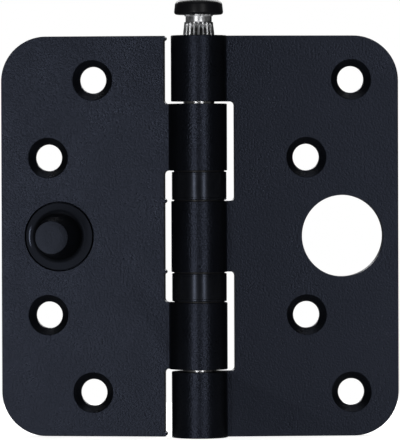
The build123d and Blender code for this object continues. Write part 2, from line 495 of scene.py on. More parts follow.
@dataclass(frozen=True)
class Finish:
    """What every finish has: its name, colour and gloss."""

    name: str
    colour: tuple[float, float, float]
    roughness: float
    metallic: float = 0.0
    specular: float = 0.5
    tint: tuple[float, float, float] = (1.0, 1.0, 1.0)

    def start(self) -> tuple[bpy.types.Material, Tree, bpy.types.Node, bpy.types.NodeSocket]:
        """Makes the material with its constant values set on the shader's own sockets.

        Returns:
            The material, its tree, its shader and the Object coordinates.
        """
        material = bpy.data.materials.new(self.name)
        material.use_nodes = True
        tree = Tree(material.node_tree)
        shader = material.node_tree.nodes["Principled BSDF"]
        shader.inputs["Base Color"].default_value = (*self.colour, 1.0)
        shader.inputs["Metallic"].default_value = self.metallic
        shader.inputs["Roughness"].default_value = self.roughness
        shader.inputs["Specular IOR Level"].default_value = self.specular
        shader.inputs["Specular Tint"].default_value = (*self.tint, 1.0)
        coordinates = tree.add("ShaderNodeTexCoord").outputs["Object"]
        return material, tree, shader, coordinates

    def noise(
        self, tree: Tree, at: bpy.types.NodeSocket, size: float, detail: float
    ) -> bpy.types.NodeSocket:
        """A noise pattern.

        Args:
            tree: The material's tree.
            at: Where it is read.
            size: Size of its features in millimetres.
            detail: Number of finer octaves.

        Returns:
            The pattern, from 0 to 1.
        """
        values = {"Vector": at, "Scale": 1 / (size * MILLIMETRE), "Detail": detail}
        return tree.add("ShaderNodeTexNoise", values).outputs[0]

    def spread(
        self, tree: Tree, pattern: bpy.types.NodeSocket, low: float, high: float
    ) -> bpy.types.NodeSocket:
        """The middle of a 0 to 1 pattern stretched between two values."""
        values = {"Value": pattern, "From Min": 0.3, "From Max": 0.7, "To Min": low, "To Max": high}
        return tree.add("ShaderNodeMapRange", values).outputs[0]

    def shade(self, tree: Tree, amount: bpy.types.NodeSocket) -> bpy.types.NodeSocket:
        """The finish's colour times a changing amount.

        Args:
            tree: The material's tree.
            amount: What the colour is multiplied by.

        Returns:
            The changed colour.
        """
        scaled = tree.add("ShaderNodeVectorMath", {0: self.colour}, operation="SCALE")
        tree.link(amount, scaled.inputs["Scale"])
        return scaled.outputs[0]

    def bump(
        self,
        tree: Tree,
        shader: bpy.types.Node,
        height: bpy.types.NodeSocket,
        depth: float,
        strength: float,
    ) -> None:
        """Lets a pattern stand proud of the surface.

        Args:
            tree: The material's tree.
            shader: Its shader.
            height: The pattern, from 0 to 1.
            depth: How far it stands out, in millimetres.
            strength: How much of it shows.
        """
        values = {"Height": height, "Distance": depth * MILLIMETRE, "Strength": strength}
        tree.link(tree.add("ShaderNodeBump", values).outputs[0], shader.inputs["Normal"])


@dataclass(frozen=True)
class Coating(Finish):
    """Baked coating with a fine grain and faint clouds."""

    grain: float = 0.42
    grain_depth: float = 0.075
    grain_strength: float = 1.0
    cloud: float = 9.0
    cloud_share: float = 0.12
    gloss_spread: float = 0.03
    gloss_grain: float = 0.04

    def material(self) -> bpy.types.Material:
        """Builds the coating.

        Returns:
            The material.
        """
        material, tree, shader, at = self.start()
        grain = self.noise(tree, at, self.grain, 3.0)
        cloud = self.noise(tree, at, self.cloud, 2.0)
        speck = self.spread(tree, grain, 1 - 2 * self.cloud_share, 1 + 2 * self.cloud_share)
        broad = self.spread(tree, cloud, 1 - self.cloud_share, 1 + self.cloud_share)
        colour = self.shade(tree, tree.math("MULTIPLY", speck, broad))
        tree.link(colour, shader.inputs["Base Color"])
        low, high = self.roughness - self.gloss_spread, self.roughness + self.gloss_spread
        gloss = self.spread(tree, cloud, low, high)
        fine = self.spread(tree, grain, -self.gloss_grain, self.gloss_grain)
        tree.link(tree.math("ADD", gloss, fine), shader.inputs["Roughness"])
        self.bump(tree, shader, grain, self.grain_depth, self.grain_strength)
        return material


@dataclass(frozen=True)
class StudFinish(Coating):
    """Coating with a faced top and a short arc on the flange that riveting has burnished."""

    top_roughness: float = 0.35
    top_height: float = 10.9
    arc_roughness: float = 0.1
    arc_radii: Point = (6.5, 6.8)
    arc_reach: Point = (1.4, 2.8)
    arc_height: float = -0.6
    column: float = 31.5
    fold: float = 11.0
    soft_edge: float = 0.05

    def material(self) -> bpy.types.Material:
        """Builds the coating and changes its gloss on the top and on the arc.

        Returns:
            The material.
        """
        material = super().material()
        tree = Tree(material.node_tree)
        shader = material.node_tree.nodes["Principled BSDF"]
        turn = math.radians(self.fold)
        at = tree.add("ShaderNodeTexCoord").outputs["Object"]
        across = self.along(tree, at, (-math.cos(turn), math.sin(turn), 0.0))
        height = self.along(tree, at, (-math.sin(turn), -math.cos(turn), 0.0))
        from_axis = tree.math("SUBTRACT", across, self.column * MILLIMETRE)
        up = tree.add("ShaderNodeSeparateXYZ", {0: at}).outputs[2]
        radius = self.length(tree, from_axis, up)
        inner, outer = (edge * MILLIMETRE for edge in self.arc_radii)
        on_flange = tree.math("GREATER_THAN", height, self.arc_height * MILLIMETRE)
        edges = (self.step(tree, radius, inner), self.step(tree, radius, outer, -1.0))
        zone = tree.math("MULTIPLY", *edges)
        beside = self.length(tree, tree.math("SUBTRACT", from_axis, (inner + outer) / 2), up)
        near, far = (edge * MILLIMETRE for edge in self.arc_reach)
        values = {"Value": beside, "From Min": far, "From Max": near}
        fade = tree.add("ShaderNodeMapRange", values).outputs[0]
        burnished = tree.math("MULTIPLY", tree.math("MULTIPLY", zone, on_flange), fade)
        faced = self.step(tree, height, self.top_height * MILLIMETRE)
        gloss = shader.inputs["Roughness"].links[0].from_socket
        for share, roughness in ((faced, self.top_roughness), (burnished, self.arc_roughness)):
            change = tree.math("MULTIPLY", share, roughness - self.roughness)
            gloss = tree.math("ADD", gloss, change)
        tree.link(gloss, shader.inputs["Roughness"])
        return material

    def length(
        self, tree: Tree, first: bpy.types.NodeSocket, second: bpy.types.NodeSocket
    ) -> bpy.types.NodeSocket:
        """The length of a vector with two parts."""
        squares = [tree.math("MULTIPLY", part, part) for part in (first, second)]
        return tree.math("SQRT", tree.math("ADD", *squares))

    def along(
        self, tree: Tree, at: bpy.types.NodeSocket, direction: tuple[float, ...]
    ) -> bpy.types.NodeSocket:
        """How far a position reaches in a direction."""
        values = {0: at, 1: direction}
        return tree.add("ShaderNodeVectorMath", values, operation="DOT_PRODUCT").outputs["Value"]

    def step(
        self, tree: Tree, value: bpy.types.NodeSocket, edge: float, sign: float = 1.0
    ) -> bpy.types.NodeSocket:
        """A short ramp where a value passes an edge.

        Args:
            tree: The material's tree.
            value: The value, in metres.
            edge: The edge, in metres.
            sign: 1 for a ramp from 0 up to 1, -1 for one that falls.

        Returns:
            The ramp, from 0 to 1.
        """
        soft = self.soft_edge * MILLIMETRE * sign
        values = {"Value": value, "From Min": edge - soft, "From Max": edge + soft}
        return tree.add("ShaderNodeMapRange", values).outputs[0]


@dataclass(frozen=True)
class PinFinish(Finish):
    """Bright zinc with painted shade in the knurl's grooves and down one side, and the head dipped
    in black coating.
    """

    head_colour: tuple[float, float, float] = (0.0042, 0.0044, 0.0058)
    head_roughness: float = 0.36
    shank_roughness: float = 0.3
    streak: float = 0.35
    streak_stretch: float = 0.15
    streak_shades: Point = (0.6, 1.2)
    streak_gloss: float = 0.06
    streak_depth: float = 0.0008
    streak_strength: float = 0.3
    line: float = 49.03
    waver: float = 0.12
    waver_size: float = 0.8
    ridges: int = 19
    knurl: Point = (38.4, 47.5)
    knurl_edge: float = 0.25
    top_fade: float = 1.5
    # This and the next three fields set the painted shade in the knurl's grooves.
    groove_painted_shade: float = 0.03
    groove_ramp: Point = (-0.2, 0.45)
    groove_uneven: float = 0.35
    groove_noise: float = 0.9
    stain_reach: float = 1.5
    stain_share: float = 0.8
    blot: float = 1.6
    blot_ramp: Point = (0.5, 0.6)
    # This and the next two fields set painted shade down the pin's +x side.
    side_shade_edges: Point = (1.9, 2.7)
    side_shade_waver: float = 0.5
    side_painted_shade: float = 0.12
    matt_above: float = 48.7
    matt_share: float = 0.5

    def material(self) -> bpy.types.Material:
        """Builds the two-part finish.

        Returns:
            The material.
        """
        material, tree, shader, at = self.start()
        height = tree.add("ShaderNodeSeparateXYZ", {0: at}).outputs[2]
        edge = self.noise(tree, at, self.waver_size, 2.0)
        wavering = self.spread(tree, edge, -self.waver * MILLIMETRE, self.waver * MILLIMETRE)
        level = tree.math("SUBTRACT", tree.math("ADD", height, wavering), self.line * MILLIMETRE)
        coated = tree.math("GREATER_THAN", level, 0.0)
        stretch = (1.0, 1.0, self.streak_stretch)
        streak_at = tree.add("ShaderNodeMapping", {"Vector": at, "Scale": stretch})
        streak = self.noise(tree, streak_at.outputs[0], self.streak, 3.0)
        # Painted shade in the knurl's grooves and down one side, times the real coating splashes
        # under the head.
        stain_and_shade_factor = tree.math("MULTIPLY", self.grooves(tree, at), self.stains_and_side_shade(tree, at))
        streaked = self.spread(tree, streak, *self.streak_shades)
        bright = self.shade(tree, tree.math("MULTIPLY", streaked, stain_and_shade_factor))
        mix = tree.add("ShaderNodeMix", data_type="RGBA")
        tree.link(coated, mix.inputs[0])
        tree.link(bright, mix.inputs[6])
        mix.inputs[7].default_value = (*self.head_colour, 1.0)
        tree.link(mix.outputs[2], shader.inputs["Base Color"])
        bare = tree.math("SUBTRACT", 1.0, coated)
        matt = tree.math("GREATER_THAN", height, self.matt_above * MILLIMETRE)
        shine = tree.math("SUBTRACT", self.metallic, tree.math("MULTIPLY", matt, self.matt_share))
        tree.link(tree.math("MULTIPLY", bare, shine), shader.inputs["Metallic"])
        low, high = self.roughness - self.streak_gloss, self.roughness + self.streak_gloss
        rough = self.spread(tree, streak, low, high)
        plain = tree.math("LESS_THAN", height, self.knurl[0] * MILLIMETRE)
        polish = tree.math("MULTIPLY", plain, self.roughness - self.shank_roughness)
        kept = tree.math("MULTIPLY", tree.math("SUBTRACT", rough, polish), bare)
        painted = tree.math("MULTIPLY", coated, self.head_roughness)
        tree.link(tree.math("ADD", kept, painted), shader.inputs["Roughness"])
        self.bump(tree, shader, streak, self.streak_depth, self.streak_strength)
        return material

    def grooves(self, tree: Tree, at: bpy.types.NodeSocket) -> bpy.types.NodeSocket:
        """Painted shade in the knurl's grooves, darker than on the ridges.

        Args:
            tree: The material's tree.
            at: Object coordinates.

        Returns:
            1 on the ridges and away from the knurl, less in the grooves.
        """
        parts = tree.add("ShaderNodeSeparateXYZ", {0: at}).outputs
        turn = tree.math("MULTIPLY", tree.math("ARCTAN2", parts[1], parts[0]), float(self.ridges))
        noise = self.noise(tree, at, self.groove_noise, 2.0)
        uneven = self.spread(tree, noise, -self.groove_uneven, self.groove_uneven)
        wave = tree.math("ADD", tree.math("COSINE", turn), uneven)
        # Painted shade: the base colour falls towards the groove shade level in each groove.
        dark, bright = self.groove_ramp
        values = {"Value": wave, "From Min": dark, "From Max": bright, "To Min": self.groove_painted_shade}
        stain_and_shade_factor = tree.add("ShaderNodeMapRange", values).outputs[0]
        low, high = (height * MILLIMETRE for height in self.knurl)
        edge, fade = self.knurl_edge * MILLIMETRE, self.top_fade * MILLIMETRE
        for start, end in ((high - fade, high + edge), (low + edge, low - edge)):
            values = {"Value": parts[2], "From Min": start, "From Max": end}
            beyond = tree.add("ShaderNodeMapRange", values).outputs[0]
            stain_and_shade_factor = tree.math("MAXIMUM", stain_and_shade_factor, beyond)
        return stain_and_shade_factor

    def stains_and_side_shade(self, tree: Tree, at: bpy.types.NodeSocket) -> bpy.types.NodeSocket:
        """The real coating splashes under the head, times painted shade down one side of the pin.

        Args:
            tree: The material's tree.
            at: Object coordinates.

        Returns:
            1 on bare zinc, less under the coating's splashes and in the painted shade down one
            side.
        """
        across, _, height = tree.add("ShaderNodeSeparateXYZ", {0: at}).outputs
        low, high = (self.line - self.stain_reach) * MILLIMETRE, self.line * MILLIMETRE
        values = {"Value": height, "From Min": low, "From Max": high}
        near = tree.add("ShaderNodeMapRange", values).outputs[0]
        blot = self.noise(tree, at, self.blot, 2.0)
        start, end = self.blot_ramp
        values = {"Value": blot, "From Min": start, "From Max": end}
        share = tree.math("MULTIPLY", tree.add("ShaderNodeMapRange", values).outputs[0], near)
        spotless = tree.math("SUBTRACT", 1.0, tree.math("MULTIPLY", share, self.stain_share))
        # Painted shade: the zinc darkens towards the pin's +x side, with a wavering edge.
        waver = self.side_shade_waver * MILLIMETRE
        shifted = tree.math("ADD", across, self.spread(tree, blot, -waver, waver))
        start, end = (side * MILLIMETRE for side in self.side_shade_edges)
        values = {"Value": shifted, "From Min": start, "From Max": end}
        run = tree.add("ShaderNodeMapRange", values | {"To Min": 1.0, "To Max": self.side_painted_shade})
        return tree.math("MULTIPLY", spotless, run.outputs[0])


@dataclass(frozen=True)
class Machined(Finish):
    """Ground or pressed bare metal with fine rings round the pin axis."""

    ring_size: float = 0.25
    ring_shades: Point = (0.85, 1.1)
    ring_gloss: Point = (-0.05, 0.08)
    ring_depth: float = 0.003
    ring_strength: float = 0.3

    def material(self) -> bpy.types.Material:
        """Builds the metal.

        Returns:
            The material.
        """
        material, tree, shader, at = self.start()
        parts = tree.add("ShaderNodeSeparateXYZ", {0: at})
        squares = [tree.math("MULTIPLY", parts.outputs[i], parts.outputs[i]) for i in (0, 1)]
        radius = tree.math("SQRT", tree.math("ADD", *squares))
        rings = tree.add("ShaderNodeCombineXYZ", {"X": radius, "Z": parts.outputs[2]})
        pattern = self.noise(tree, rings.outputs[0], self.ring_size, 2.0)
        colour = self.shade(tree, self.spread(tree, pattern, *self.ring_shades))
        tree.link(colour, shader.inputs["Base Color"])
        low, high = (self.roughness + change for change in self.ring_gloss)
        tree.link(self.spread(tree, pattern, low, high), shader.inputs["Roughness"])
        self.bump(tree, shader, pattern, self.ring_depth, self.ring_strength)
        return material


LEAF_COAT = Coating(
    "leaf_coating",
    (0.0018, 0.0021, 0.0028),
    0.32,
    specular=0.3,
    tint=(0.61, 0.70, 1.0),
)
STUD_COAT = StudFinish(
    "stud_coating",
    (0.0016, 0.0018, 0.0022),
    0.5,
    specular=0.24,
    tint=(0.64, 0.73, 1.0),
    grain_strength=0.3,
    gloss_spread=0.01,
    gloss_grain=0.01,
)
CASE_COAT = Coating(
    "bearing_case_gloss",
    (0.0036, 0.0039, 0.0047),
    0.26,
    specular=0.39,
    tint=(0.66, 0.75, 1.0),
    grain=0.8,
    grain_strength=0.12,
    gloss_spread=0.02,
    gloss_grain=0.01,
)
PIN_ZINC = PinFinish("pin_zinc", (0.90, 0.91, 0.93), 0.34, metallic=0.93, specular=0.22)
# The races' near-black colour is painted shade for the thin gap between bearing sleeve and knuckle.
RACE_STEEL = Machined("race_steel", (0.012, 0.012, 0.014), 0.34, specular=0.25)
BALL_STEEL = Machined("ball_steel", (0.72, 0.73, 0.75), 0.1, metallic=1.0, ring_size=0.5)
CAGE_BRASS = Machined("cage_brass", (0.68, 0.50, 0.22), 0.35, metallic=1.0)


# ---- the hinge


@dataclass(frozen=True)
class Gauge:
    """The sizes that both leaves, the pin and the bearings share, in millimetres."""

    height: float = 89.0
    width: float = 44.5
    thickness: float = 2.7
    face: float = 0.8
    bore: float = 3.5
    knuckle: float = 6.2
    notch_edge: float = 7.95
    corner: float = 10.0
    middle_top: float = 7.85
    bearing_top: float = 14.6
    inner_top: float = 29.4
    end_bottom: float = 29.9
    fold: float = 11.0

    @property
    def back(self) -> float:
        """Distance of a leaf's back from the pin axis."""
        return self.face + self.thickness

    @property
    def half(self) -> float:
        """Half the hinge's height."""
        return self.height / 2

    def right_axes(self) -> Matrix:
        """The right leaf's own axes: x outwards, y to the back, z up."""
        return Matrix.Identity(4)

    def left_axes(self) -> Matrix:
        """The left leaf's own axes: x outwards, y to the back, z down.

        Returns:
            The matrix from those axes to the row's.
        """
        turn = math.radians(self.fold)
        columns = (
            Vector((-math.cos(turn), math.sin(turn), 0)),
            Vector((math.sin(turn), math.cos(turn), 0)),
            Vector((0, 0, -1)),
        )
        return Matrix(columns).transposed().to_4x4()


GAUGE = Gauge()


@dataclass(frozen=True)
class StudFit:
    """What the stud needs cut into the leaves: a hole in one and a seat in the other."""

    hole: float = 9.05
    seat: float = 7.7
    seat_depth: float = 1.0
    stem: float = 3.02
    rivet: float = 4.2
    rivet_depth: float = 1.1

    def clearance(self) -> list[Point]:
        """(radius, height) of the right leaf's large hole."""
        front, behind = GAUGE.face - OVERCUT, GAUGE.back + UNDERCUT
        return [(0.0, front), (self.hole, front), (self.hole, behind), (0.0, behind)]

    def pocket(self) -> list[Point]:
        """(radius, height) of the left leaf's seat.

        Returns:
            The flange's recess, the stem's bore and the rivet's countersink, front to back.
        """
        front, floor = GAUGE.face - OVERCUT, GAUGE.face + self.seat_depth
        return [
            (0.0, front),
            (self.seat, front),
            (self.seat, floor),
            (self.stem, floor),
            (self.stem, GAUGE.back - self.rivet_depth),
            (self.rivet, GAUGE.back),
            (self.rivet, GAUGE.back + UNDERCUT),
            (0.0, GAUGE.back + UNDERCUT),
        ]


@dataclass
class Leaf:
    """One leaf: a sheet with rolled knuckles, a punched outline and countersunk holes."""

    name: str
    body: Body
    axes: Matrix
    spans: list[Point]
    inner_column: float
    outer_column: float
    nibs: list[float] = field(default_factory=list)
    inner_row: float = 17.5
    outer_row: float = 34.75
    hole: float = 2.95
    countersink: float = 4.45
    notch_fillet: float = 0.9
    nib: float = 0.45
    swage: float = 1.5
    seam: float = 0.15
    curl_end: float = 0.25
    bulge: float = 0.0
    bulge_reach: float = 42.0
    curl_facets: int = 128
    bore_facets: int = 96
    hole_facets: int = 72
    lip: float = 0.6
    edge_round: float = 0.16
    seam_slack: float = 0.02
    seam_reach: float = 0.5
    stud_column: float = 31.5
    stud_cut: list[Point] = field(default_factory=list)

    def section(self) -> list[Point]:
        """The rolled sheet's section, square to the pin.

        Returns:
            The plate's face, the lip, the bore, the curl's end, the curl, the swage and the back.
        """
        g = GAUGE
        reach = g.width + OVERCUT
        lip_y, lip_r = g.face + self.lip, g.bore + self.lip
        lip = (math.sqrt(lip_r**2 - lip_y**2), lip_y)
        seam_y = g.face - self.seam
        end_y, end_r = seam_y - self.curl_end, g.knuckle + self.bulge - self.curl_end
        end = (math.sqrt(end_r**2 - end_y**2), end_y)
        swage_y, swage_r = g.back + self.swage, g.knuckle + self.swage
        swage = (math.sqrt(swage_r**2 - swage_y**2), swage_y)
        bore_end = math.degrees(math.asin(seam_y / g.bore))
        points = [(reach, g.face)]
        points += arc(lip, self.lip, -90, bearing_of(lip) - 180, 6)
        points += arc((0, 0), g.bore, bearing_of(lip), 360 + bore_end, self.bore_facets)[1:]
        points += arc(end, self.curl_end, 90, bearing_of(end), 6)
        points += self.curl(bearing_of(end), bearing_of(swage) - 360)
        points += arc(swage, self.swage, bearing_of(swage) + 180, 270, 10)[1:]
        return points + [(reach, g.back)]

    def curl(self, start: float, stop: float) -> list[Point]:
        """The knuckle's outside from the curl's end round to the swage.

        Args:
            start: Angle of the curl's end, in degrees.
            stop: Angle where the swage begins.

        Returns:
            The points after the first, a little proud of the circle near the curl's end.
        """
        points = []
        for x, y in arc((0, 0), 1.0, start, stop, self.curl_facets)[1:]:
            away = (start - bearing_of((x, y))) % 360
            rise = math.cos(math.radians(90 * min(1.0, away / self.bulge_reach))) ** 2
            radius = GAUGE.knuckle + self.bulge * rise
            points.append((radius * x, radius * y))
        return points

    def blank(self) -> list[Point]:
        """The punched outline.

        Returns:
            (outwards, along the pin) points, from the lower end round to the barrel.
        """
        g = GAUGE
        inside = -g.knuckle - OVERCUT
        start = inside if self.spans[0][0] <= -g.half else g.notch_edge
        points = [(start, -g.half)]
        points += arc((g.width - g.corner, g.corner - g.half), g.corner, -90, 0, 24)
        points += arc((g.width - g.corner, g.half - g.corner), g.corner, 0, 90, 24)
        ends = [g.half] + [z for span in reversed(self.spans) for z in reversed(span)] + [-g.half]
        for number, (top, bottom) in enumerate(zip(ends, ends[1:])):
            if top - bottom < SAME_BELOW:
                continue
            if number % 2:
                points += [(inside, top), (inside, bottom)]
            else:
                points += self.notch(top, bottom)
        return [p for i, p in enumerate(points) if math.dist(p, points[i - 1]) > SAME_BELOW]

    def notch(self, top: float, bottom: float) -> list[Point]:
        """A notch's edge between two knuckles, with its fillets and nibs.

        Args:
            top: The notch's upper end.
            bottom: Its lower end.

        Returns:
            The edge's points, from the top down.
        """
        edge, r = GAUGE.notch_edge, self.notch_fillet
        points = [(edge, top)] if top >= GAUGE.half else arc((edge - r, top - r), r, 90, 0, 8)
        for height in sorted((z for z in self.nibs if bottom < z < top), reverse=True):
            points += arc((edge, height), self.nib, 90, 270, 12)
        if bottom <= -GAUGE.half:
            return points + [(edge, bottom)]
        return points + arc((edge - r, bottom + r), r, 0, -90, 8)

    def hole_cutter(self) -> bpy.types.Object:
        """The shape that a drill and countersink take out.

        Returns:
            The cutter, at the origin of the leaf's axes.
        """
        front, behind = GAUGE.face - OVERCUT, GAUGE.back + UNDERCUT
        depth = self.countersink - self.hole
        profile = [
            (0.0, front),
            (self.countersink, front),
            (self.countersink, GAUGE.face),
            (self.hole, GAUGE.face + depth),
            (self.hole, behind),
            (0.0, behind),
        ]
        return turned("drill", profile, self.hole_facets, SpinAxis.ALONG_Y)

    def build(self, tree: GeometryTree, material: bpy.types.Material) -> bpy.types.Object:
        """Builds the leaf.

        Args:
            tree: The tree that cuts the blank and the screw holes.
            material: The leaf's finish.

        Returns:
            The leaf, in place.
        """
        long, deep = GAUGE.half + OVERCUT, GAUGE.knuckle + OVERCUT
        leaf = prism(self.name + "_dressed", self.section(), -long, long, upright=True)
        blank = prism("blank", self.blank(), -deep, deep, upright=False)
        drill = self.hole_cutter()
        tree.apply(
            leaf,
            blank=blank,
            cutter=drill,
            material=material,
            inner_column=self.inner_column,
            outer_column=self.outer_column,
            inner_row=self.inner_row,
            outer_row=self.outer_row,
        )
        punch = turned("punch", self.stud_cut, STUD_FACETS, SpinAxis.ALONG_Y)
        punch.data.transform(Matrix.Translation((self.stud_column, 0, 0)))
        cut = leaf.modifiers.new("punch", "BOOLEAN")
        cut.operation, cut.solver, cut.object = "DIFFERENCE", "EXACT", punch
        bake_modifiers(leaf)
        discard(blank, drill, punch)
        round_edges(leaf, self.edge_round, self.in_seam)
        place(leaf, self.axes)
        leaf.data.materials.clear()
        leaf.data.materials.append(material)
        return leaf

    def in_seam(self, middle: Vector) -> bool:
        """Whether a point lies in the seam between the curl's end and the plate.

        Args:
            middle: The point, in the leaf's own axes.

        Returns:
            True where the edge through it stays sharp.
        """
        low, high = GAUGE.face - self.seam - self.seam_slack, GAUGE.face + self.seam_slack
        reach = GAUGE.knuckle + self.bulge + self.seam_reach
        return low < middle.y < high and 0 < middle.x < reach


@dataclass
class SecurityStud:
    """The stud: a flange let into the left leaf and a flared post, riveted at the back."""

    height: float = 11.8
    top: float = 3.75
    base: float = 5.1
    flare: float = 1.3
    flange: float = 7.5
    dish: float = 6.15
    dish_slopes: Point = (0.0, 3.4)
    dish_rows: int = 12
    flange_rise: float = 0.3
    flange_seat: float = 1.0
    stem: float = 3.0
    rivet: float = 4.18
    rivet_depth: float = 1.1
    rivet_chamfer: float = 0.12
    top_round: float = 0.22
    rim_round: float = 0.15
    column: float = 31.5

    def profile(self) -> list[Point]:
        """The stud's turned profile.

        Returns:
            (radius, height in front of the leaf's face), from the rivet's middle to the top's.
        """
        slope = math.atan2(self.base - self.top, self.height - self.flange_rise)
        lean = math.degrees(slope)
        thickness = GAUGE.thickness
        outer, inner = (math.tan(math.radians(angle)) for angle in self.dish_slopes)
        start, reach = self.flange - self.rim_round, self.flange - self.rim_round - self.dish
        dish = []
        for row in range(1, self.dish_rows + 1):
            run = reach * row / self.dish_rows
            rise = outer * run + (inner - outer) * run**2 / (2 * reach)
            dish.append((start - run, self.flange_rise + rise))
        tilt = math.radians(self.dish_slopes[1])
        foot = dish[-1][1]
        centre = (self.dish + self.flare * math.sin(tilt), foot + self.flare * math.cos(tilt))
        points = [(0.0, -thickness), (self.rivet - self.rivet_chamfer, -thickness)]
        points += [(self.rivet, -thickness + self.rivet_chamfer)]
        points += [(self.stem, self.rivet_depth - thickness), (self.stem, -self.flange_seat)]
        points += [(self.flange, -self.flange_seat)]
        rim = (self.flange - self.rim_round, self.flange_rise - self.rim_round)
        points += arc(rim, self.rim_round, 0, 90, 4) + dish
        points += arc(centre, self.flare, -90 - self.dish_slopes[1], -180 + lean, 24)[1:]
        crown = (self.top - self.top_round, self.height - self.top_round)
        points += arc(crown, self.top_round, lean, 90, 5)
        points += [(self.top * 0.5, self.height), (0.0, self.height)]
        return points

    def build(self, material: bpy.types.Material) -> bpy.types.Object:
        """Builds the stud.

        Args:
            material: The stud's finish.

        Returns:
            The stud, in its place on the left leaf.
        """
        heights = [(radius, GAUGE.face - height) for radius, height in self.profile()]
        stud = turned("security_stud_dressed", heights, STUD_FACETS, SpinAxis.ALONG_Y)
        stud.data.transform(Matrix.Translation((self.column, 0, 0)))
        place(stud, GAUGE.left_axes())
        stud.data.materials.append(material)
        return stud


@dataclass
class HingePin:
    """The lift-out pin: domed head, collar, pressed knurl, shank and chamfered tip."""

    radius: float = 3.43
    crest: float = 3.48
    tip: float = -37.9
    tip_chamfer: float = 0.8
    knurl_bottom: float = 38.4
    knurl_top: float = 47.4
    knurl_run_out: float = 0.5
    knurl_taper: float = 2.4
    knurl_top_radius: float = 3.2
    knurl_rows: int = 84
    knurl_step: float = 0.05
    neck_step: float = 0.1
    collar_round: float = 0.1
    crown_flat: float = 1.5
    neck: float = 2.9
    collar: float = 3.15
    collar_height: float = 0.35
    head_under: float = 49.1
    head_top: float = 52.25
    head: float = 5.5
    head_draft: float = 0.35
    crown: float = 1.1
    under_round: float = 0.6
    ridges: int = 19
    groove_depth: float = 0.5
    wear: float = 0.05
    wear_seed: float = 3.7
    facets_per_ridge: int = 12

    def profile(self) -> list[Point]:
        """The pin's turned profile, with close rows along the knurl.

        Returns:
            (radius, height), from the tip's middle to the head's.
        """
        points = [(0.0, self.tip), (self.radius - self.tip_chamfer, self.tip)]
        points += [(self.radius, self.tip + self.tip_chamfer)]
        points += [(self.radius, self.knurl_bottom - self.knurl_step)]
        for row in range(self.knurl_rows + 1):
            share = row / self.knurl_rows
            height = self.knurl_bottom + (self.knurl_top - self.knurl_bottom) * share
            rise = min(1.0, (height - self.knurl_bottom) / self.knurl_run_out)
            left = self.knurl_top - height
            taper = max(0.0, 1 - left / self.knurl_taper)
            wide = self.radius + (self.crest - self.radius) * rise
            points.append((wide + (self.knurl_top_radius - self.crest) * taper, height))
        collar_under = self.head_under - self.collar_height
        points += [(self.neck, self.knurl_top + self.neck_step), (self.neck, collar_under)]
        r = self.collar_round
        points += arc((self.collar - r, collar_under + r), r, -90, 0, 3)
        points += [(self.collar, self.head_under)]
        lean = math.degrees(self.lean())
        low, high = self.head_under + self.under_round, self.head_top - self.crown
        points += arc(self.side_centre(low, self.under_round), self.under_round, -90, lean, 8)
        points += arc(self.side_centre(high, self.crown), self.crown, lean, 90, 12)
        return points + [(self.crown_flat, self.head_top), (0.0, self.head_top)]

    def lean(self) -> float:
        """The angle in radians that the head's side leans in by."""
        return math.atan2(self.head_draft, self.head_top - self.head_under)

    def side_centre(self, height: float, radius: float) -> Point:
        """Centre of a rounding that touches the head's leaning side.

        Args:
            height: Height of the centre.
            radius: Radius of the rounding.

        Returns:
            The centre.
        """
        lean = self.lean()
        side = self.head - math.tan(lean) * (height - self.head_under)
        return side - radius / math.cos(lean), height

    def build(self, tree: GeometryTree, material: bpy.types.Material) -> bpy.types.Object:
        """Builds the pin.

        Args:
            tree: The tree that presses the knurl.
            material: The pin's finish.

        Returns:
            The pin, in place.
        """
        facets = self.ridges * self.facets_per_ridge
        pin = turned("hinge_pin_dressed", self.profile(), facets, SpinAxis.ALONG_Z)
        tree.apply(
            pin,
            ridges=self.ridges,
            depth=self.groove_depth,
            bottom=self.knurl_bottom,
            top=self.knurl_top,
            run_out=self.knurl_run_out,
            wear=self.wear,
            seed=self.wear_seed,
            material=material,
        )
        place(pin, Matrix.Identity(4))
        pin.data.materials.clear()
        pin.data.materials.append(material)
        return pin


@dataclass
class BearingCase:
    """The pressed sleeve round one bearing."""

    name: str
    body: Body
    bottom: float
    height: float = 6.19
    radius: float = 6.05
    wall: float = 0.4
    rim: float = 0.2
    seam_inset: float = 0.5
    seam_depth: float = 0.05
    seam_mouth: float = 0.06
    seam_floor: float = 0.02
    facets: int = 128

    def build(self, material: bpy.types.Material) -> bpy.types.Object:
        """Builds the sleeve with rolled rims and the fine seams of its end rings.

        Args:
            material: The sleeve's finish.

        Returns:
            The sleeve, in place.
        """
        low, high, r = self.bottom, self.bottom + self.height, self.rim
        inner = self.radius - self.wall
        floor = self.radius - self.seam_depth
        section = arc((self.radius - r, low + r), r, -90, 0, 6)
        for at in (low + self.seam_inset, high - self.seam_inset):
            section += [(self.radius, at - self.seam_mouth), (floor, at - self.seam_floor)]
            section += [(floor, at + self.seam_floor), (self.radius, at + self.seam_mouth)]
        section += arc((self.radius - r, high - r), r, 0, 90, 6)
        section += [(inner, high), (inner, low)]
        name = self.name + "_dressed"
        case = turned(name, section, self.facets, SpinAxis.ALONG_Z, closed=True)
        place(case, Matrix.Identity(4))
        case.data.materials.append(material)
        return case


# ---- studio


